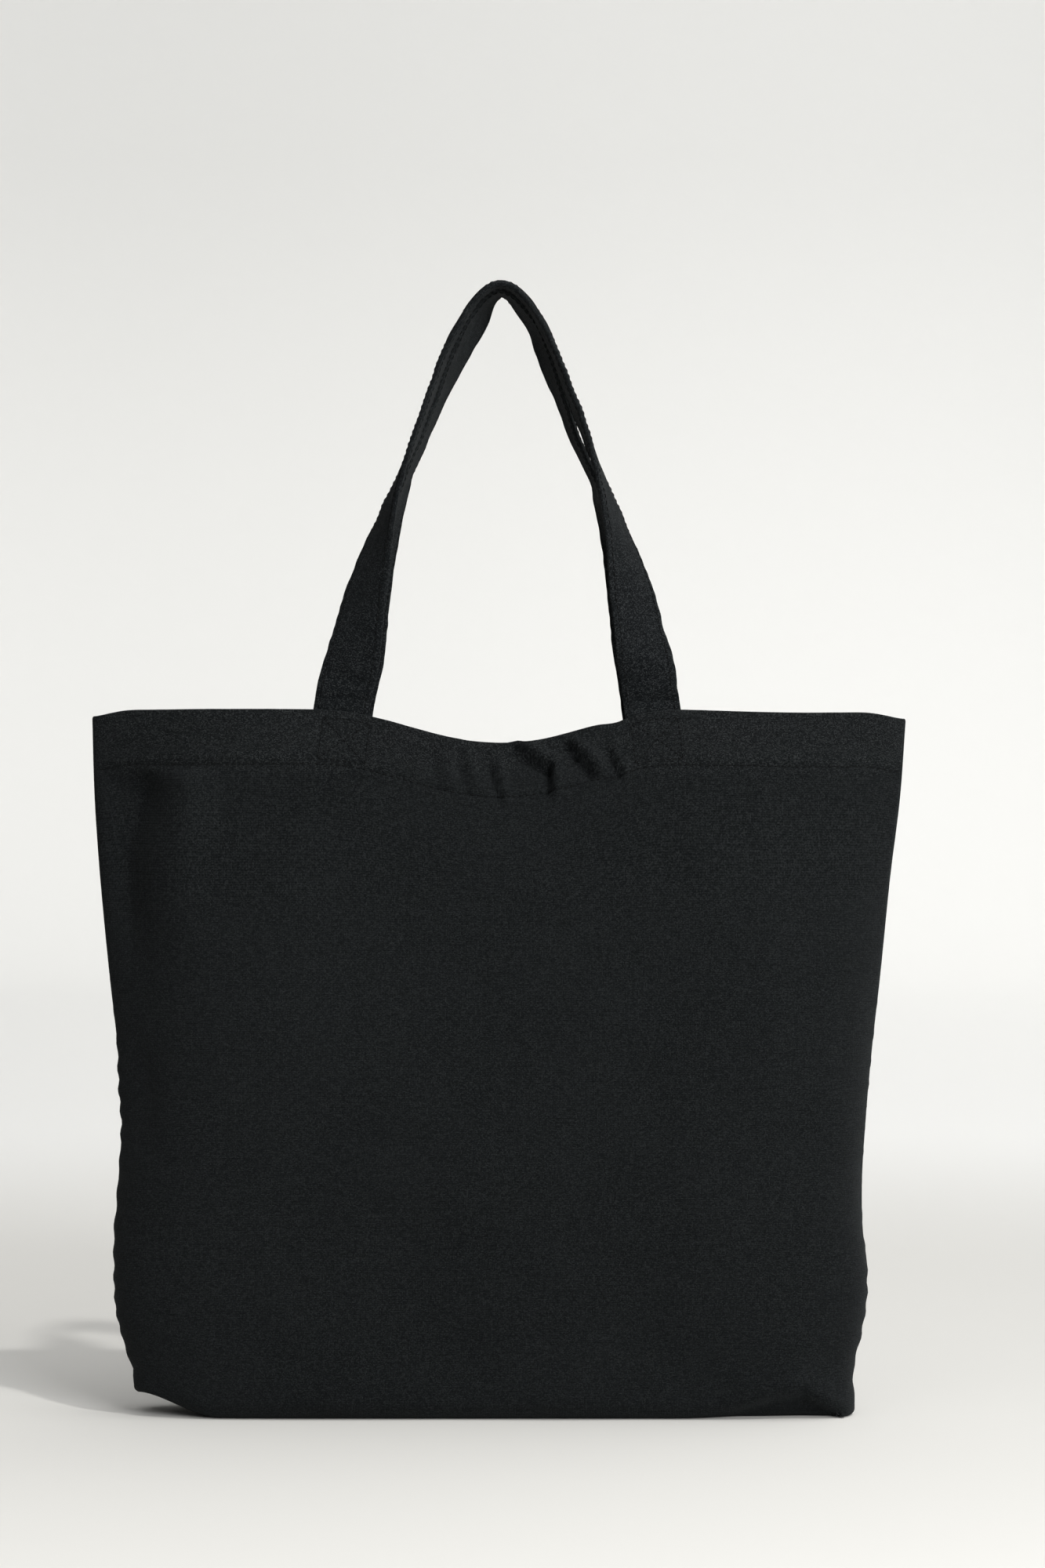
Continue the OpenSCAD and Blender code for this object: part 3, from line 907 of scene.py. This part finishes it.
def canvas_material(name, dark, light, pitch=(0.64, 1.0), highlight_share=(0.2, 0.5)):
    """Heavy plain weave: over-and-under yarns, slubs, nap, a little uneven dye, painted shade between the
    yarns and painted highlights on their tops.

    pitch is the yarn spacing across and along; the pair after it is the share of painted highlight on yarn
    tops, below the hem and in it.
    """
    m = Nodes(name)
    cloth = m.put("ShaderNodeUVMap", uv_map="cloth").outputs[0]
    u, v, _ = m.put("ShaderNodeSeparateXYZ", (cloth,)).outputs
    solid = m.put("ShaderNodeTexCoord").outputs["Object"]
    # Yarns wander and change thickness along their length
    warp_slub = m.noise(m.stretched(cloth, 1.0, 0.07), 0.95, 3.0)
    weft_slub = m.noise(m.stretched(cloth, 0.07, 1.0), 0.95, 3.0)
    uu = m.math("ADD", m.math("DIVIDE", u, pitch[0]), m.math("MULTIPLY", warp_slub, WANDER))
    vv = m.math("ADD", m.math("DIVIDE", v, pitch[1]), m.math("MULTIPLY", weft_slub, WANDER))
    su = m.math("SINE", m.math("MULTIPLY", uu, math.pi))
    sv = m.math("SINE", m.math("MULTIPLY", vv, math.pi))
    over = m.spread(m.math("MULTIPLY", su, sv), -0.25, 0.25)
    au, av = m.math("ABSOLUTE", su), m.math("ABSOLUTE", sv)

    def round_yarn(across, along):
        """A yarn's height: round across, and lower where it dives under the next one."""
        crown = m.math("ADD", m.math("MULTIPLY", along, 0.5), 0.5)
        return m.math("MULTIPLY", m.math("POWER", across, 0.7), crown)

    yarn = m.put("ShaderNodeMix", data_type="FLOAT")
    m.feed(yarn.inputs[0], over)
    m.feed(yarn.inputs[2], round_yarn(av, au))                         # weft
    m.feed(yarn.inputs[3], round_yarn(au, av))                         # warp
    weave = yarn.outputs[0]
    slub = m.math("ADD", m.spread(warp_slub, 0.55, 0.75), m.spread(weft_slub, 0.55, 0.75))
    fuzz = m.noise(cloth, 5.5, 4.0, 0.65)
    m.bump(m.weighted((weave, 0.75), (slub, 0.28), (fuzz, 0.55)), 0.85, WEAVE_RELIEF * MM)
    # Each half crossing of two yarns has its own tone
    row = m.math("FLOOR", m.math("MULTIPLY", vv, 2.0))
    cell = m.put("ShaderNodeCombineXYZ", (m.math("FLOOR", uu), row, 0.0)).outputs[0]
    speck = m.put("ShaderNodeTexWhiteNoise", (cell,), noise_dimensions="2D").outputs["Value"]
    # Painted shade: the gaps between the yarns are painted darker than the yarns, following the weave's
    # height; the dye is uneven in soft patches.
    patch = m.spread(m.noise(solid, 14.0, 3.0, 0.6), 0.3, 0.7)
    tone = m.weighted((weave, 0.55), (fuzz, 0.45))
    tone = m.weighted((tone, 0.55), (patch, 0.05), (speck, 0.30))
    colour = m.mix(m.spread(tone, 0.12, 0.85), dark, light)
    fleck = m.spread(m.noise(m.stretched(cloth, 1.0, 0.6), 2.3, 2.0, 0.7), 0.70, 0.80)
    colour = m.mix(m.math("MULTIPLY", fleck, 0.5), colour, FLECK)
    # Painted highlights: single yarn tops are painted lighter. There are more of them in the hem, which
    # paints light on the hem, and all along the straps.
    height_up = m.put("ShaderNodeSeparateXYZ", (solid,)).outputs[2]
    share = m.spread(height_up, (RIM_H - HEM_D - 10) * MM, (RIM_H - HEM_D + 2) * MM, *highlight_share)
    painted_highlights = m.math("MULTIPLY", m.math("POWER", speck, 4.0), share)
    m.feed(m.shader.inputs["Base Color"], m.mix(painted_highlights, colour, PAINTED_YARN_HIGHLIGHT))
    m.feed(m.shader.inputs["Roughness"], m.spread(fuzz, 0.2, 0.8, 0.98, 0.82))
    m.shader.inputs["Specular IOR Level"].default_value = 0.06
    m.shader.inputs["Sheen Weight"].default_value = 0.02
    m.shader.inputs["Sheen Roughness"].default_value = 0.45
    m.shader.inputs["Sheen Tint"].default_value = (0.85, 0.95, 1.0, 1)
    return m.material


def thread_material(name, dark, light):
    """Twisted two-ply thread."""
    m = Nodes(name)
    cloth = m.put("ShaderNodeUVMap", uv_map="cloth").outputs[0]
    u, v, _ = m.put("ShaderNodeSeparateXYZ", (cloth,)).outputs
    twist = m.math("SINE", m.math("ADD", m.math("MULTIPLY", u, 9.0), m.math("MULTIPLY", v, 3.5)))
    solid = m.put("ShaderNodeTexCoord").outputs["Object"]
    fuzz = m.noise(solid, 2600.0)
    height = m.math("ADD", m.math("MULTIPLY", twist, 0.4), fuzz)
    m.bump(height, 0.6, 0.08 * MM)
    # Painted shade: the thread is painted darker in the grooves between its plies, following the twist's
    # height and a random fuzz.
    m.feed(m.shader.inputs["Base Color"], m.mix(m.spread(height, 0.0, 1.2), dark, light))
    m.shader.inputs["Roughness"].default_value = 0.72
    m.shader.inputs["Specular IOR Level"].default_value = 0.08
    m.shader.inputs["Sheen Weight"].default_value = 0.01
    return m.material


CANVAS = canvas_material("black_canvas", (0.0008, 0.0012, 0.0014, 1), (0.0088, 0.0102, 0.0107, 1))
# Painted shade: the straps are the bag's own canvas, painted darker.
SHADED_STRAP_CANVAS = canvas_material("black_canvas_strap_painted_shade", (0.0007, 0.0010, 0.0012, 1), (0.0062, 0.0077, 0.0086, 1),
                               pitch=(0.62, 0.98), highlight_share=(0.6, 0.6))
THREAD = thread_material("black_thread", (0.0008, 0.0010, 0.0011, 1), (0.0040, 0.0047, 0.0049, 1))
BINDING = thread_material("black_overlock_thread", (0.008, 0.009, 0.0095, 1), (0.028, 0.030, 0.031, 1))

LOOKS = {"canvas": CANVAS, "strap_canvas": SHADED_STRAP_CANVAS, "thread": THREAD, "seam_edge": BINDING}
for obj in list(bpy.data.objects):
    if obj.type == "MESH" and "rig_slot" in obj:
        obj.data.materials.clear()
        obj.data.materials.append(LOOKS[obj["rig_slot"]])

# A strap is sewn to the bag below the rim and goes over the rim into its loop; here the straps and their
# stitches only have their transforms baked into their points.
for side in ("front", "back"):
    for piece in (straps[side], straps[side + "_thread"]):
        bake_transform(piece)


# ---------------------------------------------------------------- stage, light and camera
def backdrop():
    """A pale round floor that curves up into a wall on all sides."""
    floor, radius, high, around = 5200.0, 1600.0, 4200.0, 72
    arc = [(floor + radius * math.sin(a), radius * (1 - math.cos(a)))
           for a in np.linspace(0, math.pi / 2, 20)]
    profile = [(1.0, 0.0), (floor / 2, 0.0)] + arc + [(floor + radius, high)]
    turn = np.arange(around) * math.tau / around
    points = [(r * math.cos(a), r * math.sin(a), z) for r, z in profile for a in turn]
    sweep = new_object("backdrop", points, grid_faces(len(profile), around, wrap=True)
                       + [list(range(around))])
    m = Nodes("pale_backdrop")
    solid = m.put("ShaderNodeTexCoord").outputs["Object"]
    across, deep = m.put("ShaderNodeSeparateXYZ", (solid,)).outputs[:2]
    # Painted light: the floor, and more so the wall, are painted lighter towards the right, the side the
    # light comes from.
    ground = m.mix(m.spread(across, -0.5, 0.9), (0.638, 0.633, 0.611, 1), (0.655, 0.651, 0.630, 1))
    wall = m.mix(m.spread(across, -1.1, 1.1), (0.750, 0.752, 0.741, 1), (0.885, 0.887, 0.876, 1))
    away = m.put("ShaderNodeVectorMath", (solid,), operation="LENGTH").outputs["Value"]
    pale = m.mix(m.spread(away, 0.7, 2.2), ground, wall)
    # The left of the studio is dark, so that the folds keep their shade
    aside = m.math("ADD", across, m.math("MULTIPLY", deep, 0.115))
    m.feed(m.shader.inputs["Base Color"], m.mix(m.spread(aside, -0.33, -2.4), pale, (0.18, 0.18, 0.18, 1)))
    m.shader.inputs["Roughness"].default_value = 0.9
    m.shader.inputs["Specular IOR Level"].default_value = 0.1
    sweep.data.materials.append(m.material)


backdrop()

SKY_DARK, SKY_BRIGHT = 0.09, 1.45                 # from the left and behind, and from the right in front
world = bpy.data.worlds.new("studio")
bpy.context.scene.world = world
world.use_nodes = True
sky = world.node_tree
sky.nodes["Background"].inputs["Color"].default_value = (1.0, 0.995, 0.985, 1)
toward = sky.nodes.new("ShaderNodeVectorMath")
toward.operation = "DOT_PRODUCT"
sky.links.new(sky.nodes.new("ShaderNodeTexCoord").outputs["Generated"], toward.inputs[0])
toward.inputs[1].default_value = (0.88, -0.30, 0.37)
sky_ramp = sky.nodes.new("ShaderNodeMapRange")
sky_ramp.interpolation_type = "SMOOTHSTEP"
for k, value in enumerate((-0.45, 0.85, SKY_DARK, SKY_BRIGHT)):
    sky_ramp.inputs[k + 1].default_value = value
sky.links.new(toward.outputs["Value"], sky_ramp.inputs[0])
sky.links.new(sky_ramp.outputs[0], sky.nodes["Background"].inputs["Strength"])


def lamp(name, kind, energy, location, target, size, colour=(1, 1, 1)):
    """A light that shines towards a target; size is an angle for a sun, and two lengths for a softbox."""
    data = bpy.data.lights.new(name, kind)
    data.energy, data.color = energy, colour
    if kind == "SUN":
        data.angle = math.radians(size)
    else:
        data.shape, data.size, data.size_y = "RECTANGLE", size[0], size[1]
    obj = bpy.data.objects.new(name, data)
    obj.location = location
    aim = np.array(target, float) - np.array(location, float)
    obj.rotation_euler = Vector(aim.tolist()).to_track_quat("-Z", "Y").to_euler()
    bpy.context.collection.objects.link(obj)


# The key comes from the right, in front and high: it throws the shadow to the left and back
KEY_AZIMUTH, KEY_HEIGHT = math.radians(34), math.radians(51.5)
key_from = (3 * math.sin(KEY_AZIMUTH), -3 * math.cos(KEY_AZIMUTH), 3 * math.tan(KEY_HEIGHT))
lamp("key", "SUN", 1.0, key_from, (0, 0, 0), size=2.6, colour=(1.0, 0.985, 0.955))
lamp("front_softbox", "AREA", 62, (1.0, -2.3, 0.85), (0, 0, 0.35), size=(1.0, 1.0))
lamp("right_softbox", "AREA", 8, (2.2, -0.6, 1.1), (0, 0, 0.3), size=(1.4, 1.8))

CAMERA_X, CAMERA_Y, CAMERA_H = 13.0, -2545.0, 346.4
FRONT_Y, VIEW_H = -45.0, 850.0                    # the bag's front, and how much height is seen there
SENSOR = 36.0
data = bpy.data.cameras.new("camera")
data.sensor_fit = "VERTICAL"
data.sensor_height = SENSOR
data.lens = SENSOR * (FRONT_Y - CAMERA_Y) / VIEW_H
data.clip_end = 50
camera = bpy.data.objects.new("camera", data)
camera.location = (CAMERA_X * MM, CAMERA_Y * MM, CAMERA_H * MM)
camera.rotation_euler = (math.pi / 2, 0, 0)
bpy.context.collection.objects.link(camera)
bpy.context.scene.camera = camera
bpy.context.scene.view_settings.view_transform = "Standard"
